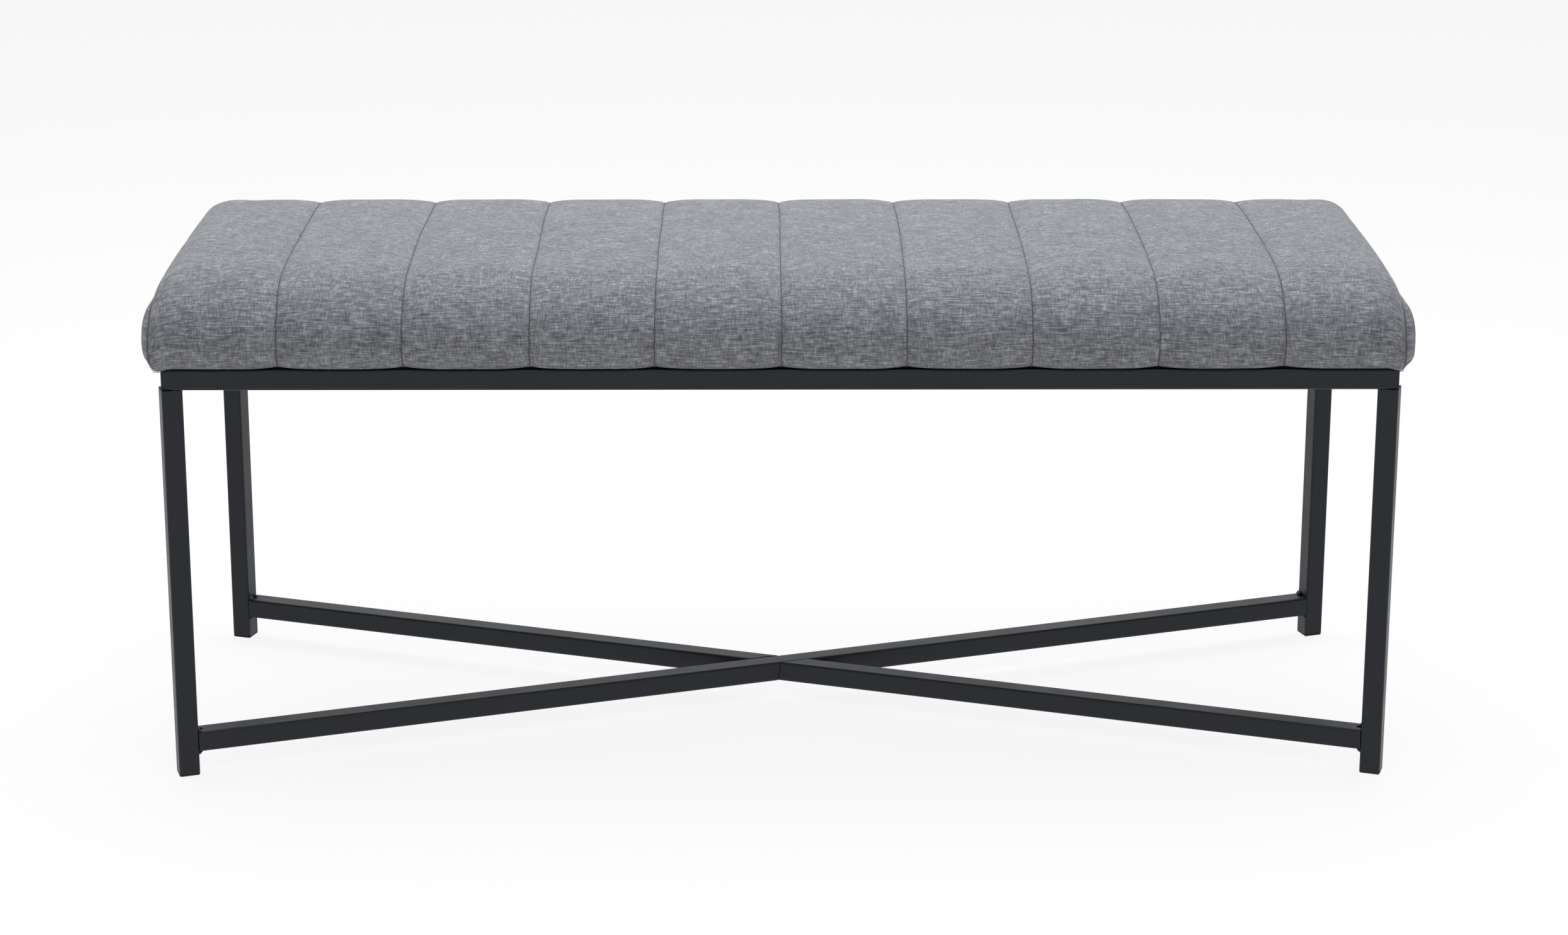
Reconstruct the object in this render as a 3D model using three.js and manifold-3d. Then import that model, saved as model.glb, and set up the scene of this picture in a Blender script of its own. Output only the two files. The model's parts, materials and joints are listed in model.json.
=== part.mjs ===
// Entryway bench: a channel-tufted seat pad on a square-tube steel base.
// Millimetres, +Z up. X runs along the bench, -Y is its front, and the origin is
// on the floor under the middle of the bench.
import * as THREE from 'three';
import { mergeVertices } from 'three/addons/utils/BufferGeometryUtils.js';
import Module from 'manifold-3d';

const wasm = await Module();
wasm.setup();

// ---------------------------------------------------------------- sizes
const GAP = 0.3; // left between any two touching pieces
const OVERRUN = 1; // how far a cutting or joining tool runs past the face it goes through

const SEAT_LENGTH = 1200; // overall, across the padded ends
const SEAT_DEPTH = 436; // overall, across the front and back rolls
const SEAT_HEIGHT = 500; // floor to the crown of the pad
const PAD_HEIGHT = 90; // top of the seat frame to the crown of the pad
const END_OVERHANG = 16; // pad beyond the seat frame at each end
const SIDE_OVERHANG = 13; // pad beyond the seat frame at the front and back

const TUBE = 20; // square steel tube, outside
const WALL = 1.5;
const TUBE_CORNER = 2; // outside corner radius of the tube

const STRETCHER_CLEARANCE = 24; // floor to the underside of the stretchers
const LAP_CLEARANCE = 0.4; // round each stretcher in the other one's notch
const VENT_RADIUS = 3; // drain hole for the powder coat
const VENT_SETBACK = 2.4; // from the end of the stretcher to the vent's centre
const BEAD = 3; // leg of each weld bead
const BEAD_SETBACK = 1; // from the tube's side to the end of the bead

const END_CAP = 1.5; // thickness of the plates on the rail ends
const BEARER_X = 330; // the two cross bearers, either side of the middle

const FOOT_FLANGE = 2; // plastic under the leg's steel
const FOOT_BEVEL = 0.8;
const FOOT_SPIGOT = 14; // plastic inside the leg

const BOLT_RADIUS = 3; // M6
const BOLT_CLEARANCE = 0.3; // between a bolt and its hole, all round
const LEG_BOLT_LENGTH = 16;
const LEG_BOLT_HEAD_RADIUS = BOLT_RADIUS + 2;
const LEG_BOLT_HEAD_HEIGHT = 6;
const LEG_BOLT_END_CLEARANCE = 0.2; // from the bolt head to the rail's end cap
const KEY_RADIUS = 2.5; // hexagon socket, across corners
const KEY_SIDES = 6;
const KEY_DEPTH = 3; // in the leg bolts' socket heads
const BUTTON_KEY_DEPTH = 1.5; // in the seat bolts' button heads
const NUT_PLATE = 6; // thickness of the threaded plate in each leg top
const SEAT_BOLT_INSET = 65; // from the frame's edge to the bolts in the cross bearers
const SEAT_BOLT_HEAD_RADIUS = BOLT_RADIUS + 2.5;
const SEAT_BOLT_HEAD_HEIGHT = 3.3;
const TNUT_RADIUS = 9.5;
const TNUT_FLANGE = 1.2;
const TNUT_BARREL = BOLT_RADIUS + 1; // outside radius
const TNUT_DEPTH = 9;

const DUST_COVER = 0.5; // black non-woven cloth under the board
const DUST_COVER_MARGIN = 5; // inside the seat frame, all round
const FABRIC = 1.2;
const FABRIC_TURN_UNDER = 40; // cover folded under the board, from the frame's edge
const BOARD = 12; // plywood
const BOARD_MARGIN = 3; // inside the seat frame, all round

const CHANNELS = 10; // sewn strips across the seat
const END_PANEL_DEPTH = 8; // from the end seam out to the end of the pad
const CROWN = 5; // rise of the top between its front and back rolls
const PLAN_CORNER = 12; // corner radius of the pad seen from above
const SIDE_ROLL_ACROSS = 66; // top roll along the front and back
const SIDE_FLAT = 13.9; // upright cloth between that roll and the tuck
const SIDE_TUCK = [12, 20]; // bottom roll along the front and back: across, up
const END_ROLL_ACROSS = 66; // top roll at the two ends
const END_FLAT = 24.9;
const END_TUCK = [12, 18]; // bottom roll at the two ends

// ---------------------------------------------------------------- derived places
const FRAME_LENGTH = SEAT_LENGTH - 2 * END_OVERHANG; // outside of the seat frame
const FRAME_DEPTH = SEAT_DEPTH - 2 * SIDE_OVERHANG;
const FRAME_TOP = SEAT_HEIGHT - PAD_HEIGHT;
const LEG_HEIGHT = FRAME_TOP - TUBE; // floor to the underside of the seat frame

const HALF_TUBE = TUBE / 2;
const LEG_X = FRAME_LENGTH / 2 - END_CAP - GAP - LEG_BOLT_HEAD_RADIUS - LEG_BOLT_END_CLEARANCE;
const RAIL_Y = FRAME_DEPTH / 2 - HALF_TUBE;
const DIAGONAL_HALF = Math.hypot(LEG_X, RAIL_Y); // centre of the bench to a leg
const DIAGONAL_ANGLE = Math.atan2(RAIL_Y, LEG_X);

const DUST_COVER_BOTTOM = FRAME_TOP + GAP;
const PAD_BOTTOM = DUST_COVER_BOTTOM + DUST_COVER + GAP;
const BOARD_BOTTOM = PAD_BOTTOM + FABRIC + GAP;
const BOARD_TOP = BOARD_BOTTOM + BOARD;
const PAD_THICKNESS = SEAT_HEIGHT - PAD_BOTTOM;
const SIDE_ROLL = [SIDE_ROLL_ACROSS, PAD_THICKNESS - CROWN - SIDE_FLAT - SIDE_TUCK[1]];
const END_ROLL = [END_ROLL_ACROSS, PAD_THICKNESS - END_FLAT - END_TUCK[1]];
const STRIP_WIDTH = (SEAT_LENGTH - 2 * END_PANEL_DEPTH) / CHANNELS;

const BOLT_HOLE = BOLT_RADIUS + BOLT_CLEARANCE;
const ROUND_SIDES = 16;
const TUBE_CORNER_SEGMENTS = 2;
const PAD_SEGMENTS = 6;

const SEAT_BOLT_Y = FRAME_DEPTH / 2 - SEAT_BOLT_INSET;
const seatBoltPlaces = [-1, 1].flatMap((side) => [-1, 1].map((end) => (
  new THREE.Vector2(end * BEARER_X, side * SEAT_BOLT_Y)
)));

// ---------------------------------------------------------------- materials
const steel = () => new THREE.MeshStandardMaterial({
  color: 0x2e3034, roughness: 0.5, metalness: 0.35,
});
const zincSteel = () => new THREE.MeshStandardMaterial({
  color: 0xb4b6b8, roughness: 0.35, metalness: 1,
});
const blackSteel = () => new THREE.MeshStandardMaterial({
  color: 0x1b1c1e, roughness: 0.4, metalness: 0.8,
});
const plastic = () => new THREE.MeshStandardMaterial({
  color: 0x232427, roughness: 0.6, metalness: 0,
});
const greyFabric = () => new THREE.MeshStandardMaterial({
  color: 0x7b7e84, roughness: 0.95, metalness: 0,
});
const blackCloth = () => new THREE.MeshStandardMaterial({
  color: 0x161618, roughness: 0.95, metalness: 0,
});
const plywood = () => new THREE.MeshStandardMaterial({
  color: 0xc49a6c, roughness: 0.8, metalness: 0,
});
const foam = () => new THREE.MeshStandardMaterial({
  color: 0xe8e0c8, roughness: 0.95, metalness: 0,
});

// ---------------------------------------------------------------- solid helpers
function solidOf(geometry) {
  const bare = geometry.clone();
  bare.deleteAttribute('normal');
  bare.deleteAttribute('uv');
  const merged = mergeVertices(bare, 1e-4);
  return new wasm.Manifold(new wasm.Mesh({
    numProp: 3,
    vertProperties: new Float32Array(merged.attributes.position.array),
    triVerts: new Uint32Array(merged.index.array),
  }));
}

function geometryOf(solid) {
  const mesh = solid.getMesh();
  const geometry = new THREE.BufferGeometry();
  geometry.setAttribute('position', new THREE.BufferAttribute(mesh.vertProperties, 3));
  geometry.setIndex(new THREE.BufferAttribute(mesh.triVerts, 1));
  geometry.computeVertexNormals();
  return geometry;
}

function block(low, high) {
  const size = high.map((value, axis) => value - low[axis]);
  const middle = high.map((value, axis) => (value + low[axis]) / 2);
  return solidOf(new THREE.BoxGeometry(...size).translate(...middle));
}

// A round bar standing upright at (x, y), from z = bottom to z = top.
function upright(radius, x, y, bottom, top, sides = ROUND_SIDES) {
  const bar = new THREE.CylinderGeometry(radius, radius, top - bottom, sides);
  bar.rotateX(Math.PI / 2);
  return solidOf(bar.translate(x, y, (top + bottom) / 2));
}

function cut(solid, tools) {
  return tools.reduce((left, tool) => left.subtract(tool), solid);
}

function roundedSquare(Outline, width, radius) {
  const flat = width / 2 - radius;
  const outline = new Outline();
  outline.absarc(flat, flat, radius, 0, Math.PI / 2);
  outline.absarc(-flat, flat, radius, Math.PI / 2, Math.PI);
  outline.absarc(-flat, -flat, radius, Math.PI, 1.5 * Math.PI);
  outline.absarc(flat, -flat, radius, 1.5 * Math.PI, 2 * Math.PI);
  outline.closePath();
  return outline;
}

// Square tube with open ends, from z = 0 to z = length.
function tube(length) {
  const section = roundedSquare(THREE.Shape, TUBE, TUBE_CORNER);
  const insideCorner = Math.max(TUBE_CORNER - WALL, TUBE_CORNER / 4);
  section.holes.push(roundedSquare(THREE.Path, TUBE - 2 * WALL, insideCorner));
  return new THREE.ExtrudeGeometry(section, {
    depth: length, bevelEnabled: false, curveSegments: TUBE_CORNER_SEGMENTS,
  });
}

function tubeAlongX(length) {
  return tube(length).translate(0, 0, -length / 2).rotateY(Math.PI / 2);
}

function tubeAlongY(length) {
  return tube(length).translate(0, 0, -length / 2).rotateX(Math.PI / 2);
}

function piece(name, geometry, material) {
  const mesh = new THREE.Mesh(geometry, material);
  mesh.name = name;
  return mesh;
}

// ---------------------------------------------------------------- leg frames
// Each leg frame is built along its own X axis and then turned onto a diagonal of
// the bench, so its tubes' faces stay square to that diagonal.
function leg() {
  const bottom = FOOT_FLANGE + GAP;
  return tube(LEG_HEIGHT - GAP - bottom).translate(0, 0, bottom);
}

function footPlug() {
  const section = roundedSquare(THREE.Shape, TUBE, TUBE_CORNER);
  const flange = new THREE.ExtrudeGeometry(section, {
    depth: FOOT_FLANGE - 2 * FOOT_BEVEL,
    bevelThickness: FOOT_BEVEL,
    bevelSize: FOOT_BEVEL,
    bevelOffset: -FOOT_BEVEL,
    bevelSegments: 1,
    curveSegments: TUBE_CORNER_SEGMENTS,
  }).translate(0, 0, FOOT_BEVEL);
  const spigot = HALF_TUBE - WALL - GAP;
  const inside = block([-spigot, -spigot, FOOT_FLANGE / 2], [spigot, spigot, FOOT_SPIGOT]);
  return geometryOf(solidOf(flange).add(inside));
}

// The threaded plate welded inside the top of a leg.
function nutPlate() {
  const half = HALF_TUBE - WALL - GAP;
  const top = LEG_HEIGHT - 2 * GAP;
  const plate = block([-half, -half, top - NUT_PLATE], [half, half, top]);
  return geometryOf(plate.subtract(upright(BOLT_HOLE, 0, 0, top - NUT_PLATE - OVERRUN, top + OVERRUN)));
}

// A fillet of weld in the corner between the leg's inner face and the stretcher.
// The corner is at the origin, the stretcher runs towards -X and the leg is at +X.
function weldBead(from, to, pointsDown) {
  const section = new THREE.Shape();
  section.moveTo(-GAP, GAP);
  section.lineTo(-GAP, GAP + BEAD);
  section.quadraticCurveTo(-GAP - BEAD / 2, GAP + BEAD / 2, -GAP - BEAD, GAP);
  section.closePath();
  const bead = new THREE.ExtrudeGeometry(section, {
    depth: to - from, bevelEnabled: false, curveSegments: 4,
  }).rotateX(Math.PI / 2).translate(0, to, 0);
  return pointsDown ? bead.rotateX(Math.PI).translate(0, from + to, 0) : bead;
}

// One diagonal stretcher. The half of it that faces the other stretcher is cut away
// where they cross, and a vent is cut in its top wall at each end.
function stretcher(passesOver, crossingAngle) {
  const half = DIAGONAL_HALF - HALF_TUBE - GAP;
  const bottom = STRETCHER_CLEARANCE;
  const middle = bottom + HALF_TUBE;
  const top = bottom + TUBE;
  const body = solidOf(tubeAlongX(2 * half).translate(0, 0, middle));
  const notchHalf = HALF_TUBE + LAP_CLEARANCE;
  const [low, high] = passesOver
    ? [bottom - OVERRUN, middle + LAP_CLEARANCE / 2]
    : [middle - LAP_CLEARANCE / 2, top + OVERRUN];
  const notch = new THREE.BoxGeometry(4 * TUBE, 2 * notchHalf, high - low);
  notch.translate(0, 0, (low + high) / 2).rotateZ(crossingAngle);
  const vents = [-1, 1].map((end) => (
    upright(VENT_RADIUS, end * (half - VENT_SETBACK), 0, top - 2 * WALL, top + OVERRUN)
  ));
  return geometryOf(cut(body, [solidOf(notch), ...vents]));
}

// A socket-head bolt that hangs from the floor of the rail into the leg's nut plate.
function legBolt() {
  const seat = LEG_HEIGHT + WALL + GAP;
  const shank = upright(BOLT_RADIUS, 0, 0, seat - LEG_BOLT_LENGTH, seat + OVERRUN);
  const headTop = seat + LEG_BOLT_HEAD_HEIGHT;
  const head = upright(LEG_BOLT_HEAD_RADIUS, 0, 0, seat, headTop);
  const key = upright(KEY_RADIUS, 0, 0, headTop - KEY_DEPTH, headTop + OVERRUN, KEY_SIDES);
  return geometryOf(shank.add(head).subtract(key));
}

function legFrame(names, angle, passesOver) {
  const frame = new THREE.Group();
  const stretcherTop = STRETCHER_CLEARANCE + TUBE;
  const beadHalf = HALF_TUBE - BEAD_SETBACK;
  const crossingAngle = -2 * angle;
  frame.add(piece(names.stretcher, stretcher(passesOver, crossingAngle), steel()));
  names.legs.forEach((name, index) => {
    const end = new THREE.Group();
    const corner = DIAGONAL_HALF - HALF_TUBE;
    end.add(piece(`${name}_leg`, leg().translate(DIAGONAL_HALF, 0, 0), steel()));
    end.add(piece(`${name}_foot`, footPlug().translate(DIAGONAL_HALF, 0, 0), plastic()));
    end.add(piece(`${name}_nut_plate`, nutPlate().translate(DIAGONAL_HALF, 0, 0), zincSteel()));
    end.add(piece(`${name}_leg_bolt`, legBolt().translate(DIAGONAL_HALF, 0, 0), blackSteel()));
    const upper = weldBead(VENT_RADIUS + GAP, beadHalf, false);
    end.add(piece(`${name}_upper_weld`, upper.translate(corner, 0, stretcherTop), steel()));
    const lower = weldBead(-beadHalf, beadHalf, true);
    end.add(piece(`${name}_lower_weld`, lower.translate(corner, 0, STRETCHER_CLEARANCE), steel()));
    end.rotation.z = index * Math.PI;
    frame.add(end);
  });
  frame.rotation.z = angle;
  return frame;
}

// ---------------------------------------------------------------- seat frame
// A rail carries its two leg bolts in its bottom wall, with an opening above each
// head to drop it in.
function longRail(side) {
  const length = FRAME_LENGTH - 2 * (END_CAP + GAP);
  const y = side * RAIL_Y;
  const middle = LEG_HEIGHT + HALF_TUBE;
  const rail = solidOf(tubeAlongX(length).translate(0, y, middle));
  const below = LEG_HEIGHT - OVERRUN;
  const above = FRAME_TOP + OVERRUN;
  const accessRadius = LEG_BOLT_HEAD_RADIUS + 2 * BOLT_CLEARANCE;
  const holes = [-1, 1].flatMap((end) => [
    upright(BOLT_HOLE, end * LEG_X, y, below, middle),
    upright(accessRadius, end * LEG_X, y, middle, above),
  ]);
  return geometryOf(cut(rail, holes));
}

function endCap() {
  const section = roundedSquare(THREE.Shape, TUBE, TUBE_CORNER);
  return new THREE.ExtrudeGeometry(section, {
    depth: END_CAP, bevelEnabled: false, curveSegments: TUBE_CORNER_SEGMENTS,
  }).translate(0, 0, -END_CAP / 2).rotateY(Math.PI / 2);
}

// A bearer between the long rails, with the two seat bolts through both its walls.
function crossBearer(x, length) {
  const bearer = solidOf(tubeAlongY(length).translate(x, 0, LEG_HEIGHT + HALF_TUBE));
  const holes = [-1, 1].map((side) => (
    upright(BOLT_HOLE, x, side * SEAT_BOLT_Y, LEG_HEIGHT - OVERRUN, FRAME_TOP + OVERRUN)
  ));
  return geometryOf(cut(bearer, holes));
}

function seatFrame() {
  const frame = new THREE.Group();
  const middle = LEG_HEIGHT + HALF_TUBE;
  const between = 2 * (RAIL_Y - HALF_TUBE - GAP);
  const capX = (FRAME_LENGTH - END_CAP) / 2;
  const ends = [['left', -1], ['right', 1]];
  for (const [face, side] of [['front', -1], ['back', 1]]) {
    frame.add(piece(`${face}_rail`, longRail(side), steel()));
    for (const [hand, end] of ends) {
      const cap = endCap().translate(end * capX, side * RAIL_Y, middle);
      frame.add(piece(`${face}_${hand}_rail_cap`, cap, steel()));
    }
  }
  for (const [hand, end] of ends) {
    const railX = FRAME_LENGTH / 2 - HALF_TUBE;
    const endRail = tubeAlongY(between).translate(end * railX, 0, middle);
    frame.add(piece(`${hand}_end_rail`, endRail, steel()));
    const bearer = crossBearer(end * BEARER_X, between);
    frame.add(piece(`${hand}_cross_bearer`, bearer, steel()));
  }
  return frame;
}

// ---------------------------------------------------------------- seat pad
// Half-round-cornered upright section: [across, down] rolls at the top, [across, up]
// tucks at the bottom, and an optional rise along the top.
function padSection(half, bottom, top, roll, tuck, rise) {
  const shoulder = top - rise;
  const section = new THREE.Shape();
  section.moveTo(-half + tuck[0], bottom);
  section.lineTo(half - tuck[0], bottom);
  section.absellipse(half - tuck[0], bottom + tuck[1], ...tuck, -Math.PI / 2, 0);
  section.absellipse(half - roll[0], shoulder - roll[1], ...roll, 0, Math.PI / 2);
  section.quadraticCurveTo(0, shoulder + 2 * rise, -half + roll[0], shoulder);
  section.absellipse(-half + roll[0], shoulder - roll[1], ...roll, Math.PI / 2, Math.PI);
  section.absellipse(-half + tuck[0], bottom + tuck[1], ...tuck, Math.PI, 1.5 * Math.PI);
  return section;
}

function planOutline(halfLength, halfDepth, radius) {
  const x = halfLength - radius;
  const y = halfDepth - radius;
  const outline = new THREE.Shape();
  outline.absarc(x, y, radius, 0, Math.PI / 2);
  outline.absarc(-x, y, radius, Math.PI / 2, Math.PI);
  outline.absarc(-x, -y, radius, Math.PI, 1.5 * Math.PI);
  outline.absarc(x, -y, radius, 1.5 * Math.PI, 2 * Math.PI);
  outline.closePath();
  return outline;
}

// The pad's outer form, drawn in by inset on every side: its end view, front view
// and plan, each run through the pad and kept only where all three agree.
function padForm(inset) {
  const halfLength = SEAT_LENGTH / 2 - inset;
  const halfDepth = SEAT_DEPTH / 2 - inset;
  const bottom = PAD_BOTTOM + inset;
  const top = SEAT_HEIGHT - inset;
  const drawIn = (roll) => roll.map((radius) => radius - inset);
  const run = (section, length) => new THREE.ExtrudeGeometry(section, {
    depth: length, bevelEnabled: false, curveSegments: PAD_SEGMENTS,
  });
  const endView = run(
    padSection(halfDepth, bottom, top, drawIn(SIDE_ROLL), drawIn(SIDE_TUCK), CROWN),
    SEAT_LENGTH,
  ).translate(0, 0, -SEAT_LENGTH / 2).rotateX(Math.PI / 2).rotateZ(Math.PI / 2);
  const frontView = run(
    padSection(halfLength, bottom, top, drawIn(END_ROLL), drawIn(END_TUCK), 0),
    SEAT_DEPTH,
  ).translate(0, 0, -SEAT_DEPTH / 2).rotateX(Math.PI / 2);
  const plan = run(
    planOutline(halfLength, halfDepth, PLAN_CORNER - inset),
    SEAT_HEIGHT + OVERRUN,
  );
  return solidOf(endView).intersect(solidOf(frontView)).intersect(solidOf(plan));
}

// The sewn cover: a skin over the pad that turns under the board and is open below.
function coverSkin() {
  const openX = FRAME_LENGTH / 2 - FABRIC_TURN_UNDER;
  const openY = FRAME_DEPTH / 2 - FABRIC_TURN_UNDER;
  const opening = block(
    [-openX, -openY, PAD_BOTTOM - OVERRUN],
    [openX, openY, BOARD_BOTTOM + OVERRUN],
  );
  return cut(padForm(0), [padForm(FABRIC), opening]);
}

// The part of the cover between two seams, each edge half a gap short of its seam.
function coverBetween(skin, fromX, toX) {
  const halfGap = GAP / 2;
  const slab = block(
    [fromX + halfGap, -SEAT_DEPTH, 0],
    [toX - halfGap, SEAT_DEPTH, 2 * SEAT_HEIGHT],
  );
  return geometryOf(skin.intersect(slab));
}

function board() {
  const x = FRAME_LENGTH / 2 - BOARD_MARGIN;
  const y = FRAME_DEPTH / 2 - BOARD_MARGIN;
  const sheet = block([-x, -y, BOARD_BOTTOM], [x, y, BOARD_TOP]);
  const holes = seatBoltPlaces.map((place) => (
    upright(TNUT_BARREL + GAP, place.x, place.y, BOARD_BOTTOM - OVERRUN, BOARD_TOP + OVERRUN)
  ));
  return geometryOf(cut(sheet, holes));
}

// Foam fills the cover, reaches down round the board's edge and has a pocket over
// each T-nut.
function foamBlock() {
  const x = FRAME_LENGTH / 2 - BOARD_MARGIN + GAP;
  const y = FRAME_DEPTH / 2 - BOARD_MARGIN + GAP;
  const pocket = block([-x, -y, PAD_BOTTOM - OVERRUN], [x, y, BOARD_TOP + GAP]);
  const nutPocketTop = BOARD_TOP + 3 * GAP + TNUT_FLANGE;
  const nutPockets = seatBoltPlaces.map((place) => (
    upright(TNUT_RADIUS + GAP, place.x, place.y, BOARD_TOP - OVERRUN, nutPocketTop)
  ));
  return geometryOf(cut(padForm(FABRIC + GAP), [pocket, ...nutPockets]));
}

function tNut({ x, y }) {
  const seat = BOARD_TOP + GAP;
  const flange = upright(TNUT_RADIUS, x, y, seat, seat + TNUT_FLANGE);
  const barrel = upright(TNUT_BARREL, x, y, seat - TNUT_DEPTH, seat + TNUT_FLANGE / 2);
  const below = seat - TNUT_DEPTH - OVERRUN;
  const bore = upright(BOLT_HOLE, x, y, below, seat + TNUT_FLANGE + OVERRUN);
  return geometryOf(flange.add(barrel).subtract(bore));
}

// A button-head bolt up through the bearer, the dust cover and the board into its T-nut.
function seatBolt({ x, y }) {
  const headTop = LEG_HEIGHT - GAP;
  const headBottom = headTop - SEAT_BOLT_HEAD_HEIGHT;
  const head = upright(SEAT_BOLT_HEAD_RADIUS, x, y, headBottom, headTop);
  const shank = upright(BOLT_RADIUS, x, y, headTop - OVERRUN, BOARD_TOP + TNUT_FLANGE);
  const keyTop = headBottom + BUTTON_KEY_DEPTH;
  const key = upright(KEY_RADIUS, x, y, headBottom - OVERRUN, keyTop, KEY_SIDES);
  return geometryOf(head.add(shank).subtract(key));
}

function dustCover() {
  const x = FRAME_LENGTH / 2 - DUST_COVER_MARGIN;
  const y = FRAME_DEPTH / 2 - DUST_COVER_MARGIN;
  const bottom = DUST_COVER_BOTTOM;
  const sheet = block([-x, -y, bottom], [x, y, bottom + DUST_COVER]);
  const holes = seatBoltPlaces.map((place) => (
    upright(BOLT_HOLE, place.x, place.y, bottom - OVERRUN, bottom + OVERRUN)
  ));
  return geometryOf(cut(sheet, holes));
}

function seatPad() {
  const pad = new THREE.Group();
  const skin = coverSkin();
  const endSeam = SEAT_LENGTH / 2 - END_PANEL_DEPTH;
  for (let index = 0; index < CHANNELS; index += 1) {
    const fromX = -endSeam + index * STRIP_WIDTH;
    const name = `cover_strip_${String(index + 1).padStart(2, '0')}`;
    pad.add(piece(name, coverBetween(skin, fromX, fromX + STRIP_WIDTH), greyFabric()));
  }
  const leftPanel = coverBetween(skin, -SEAT_LENGTH, -endSeam);
  const rightPanel = coverBetween(skin, endSeam, SEAT_LENGTH);
  pad.add(piece('cover_left_end_panel', leftPanel, greyFabric()));
  pad.add(piece('cover_right_end_panel', rightPanel, greyFabric()));
  pad.add(piece('foam_block', foamBlock(), foam()));
  pad.add(piece('seat_board', board(), plywood()));
  pad.add(piece('dust_cover', dustCover(), blackCloth()));
  seatBoltPlaces.forEach((place, index) => {
    pad.add(piece(`seat_t_nut_${index + 1}`, tNut(place), zincSteel()));
    pad.add(piece(`seat_bolt_${index + 1}`, seatBolt(place), blackSteel()));
  });
  return pad;
}

// ---------------------------------------------------------------- assembly
const bench = new THREE.Group();
bench.add(legFrame(
  { stretcher: 'over_stretcher', legs: ['back_right', 'front_left'] },
  DIAGONAL_ANGLE,
  true,
));
bench.add(legFrame(
  { stretcher: 'under_stretcher', legs: ['front_right', 'back_left'] },
  -DIAGONAL_ANGLE,
  false,
));
bench.add(seatFrame());
bench.add(seatPad());

export default bench;
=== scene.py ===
import json
import math

import bmesh
import bpy
from mathutils import Matrix, Vector, noise


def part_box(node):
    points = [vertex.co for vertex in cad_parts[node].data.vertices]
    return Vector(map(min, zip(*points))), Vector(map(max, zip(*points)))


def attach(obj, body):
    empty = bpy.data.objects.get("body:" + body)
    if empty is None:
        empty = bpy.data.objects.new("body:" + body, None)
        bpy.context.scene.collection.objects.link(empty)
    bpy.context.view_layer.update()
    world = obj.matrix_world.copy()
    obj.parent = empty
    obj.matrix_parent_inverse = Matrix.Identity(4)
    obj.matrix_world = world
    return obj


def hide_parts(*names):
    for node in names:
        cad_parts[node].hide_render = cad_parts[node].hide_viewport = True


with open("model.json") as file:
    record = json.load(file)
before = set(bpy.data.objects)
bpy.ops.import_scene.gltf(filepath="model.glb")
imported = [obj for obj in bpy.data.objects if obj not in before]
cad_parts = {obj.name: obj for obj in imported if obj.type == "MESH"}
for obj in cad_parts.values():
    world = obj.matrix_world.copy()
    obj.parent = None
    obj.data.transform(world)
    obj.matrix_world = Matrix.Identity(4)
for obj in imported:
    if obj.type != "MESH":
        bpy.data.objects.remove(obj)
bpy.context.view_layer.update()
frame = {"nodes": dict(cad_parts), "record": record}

MM = 0.001


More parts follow.
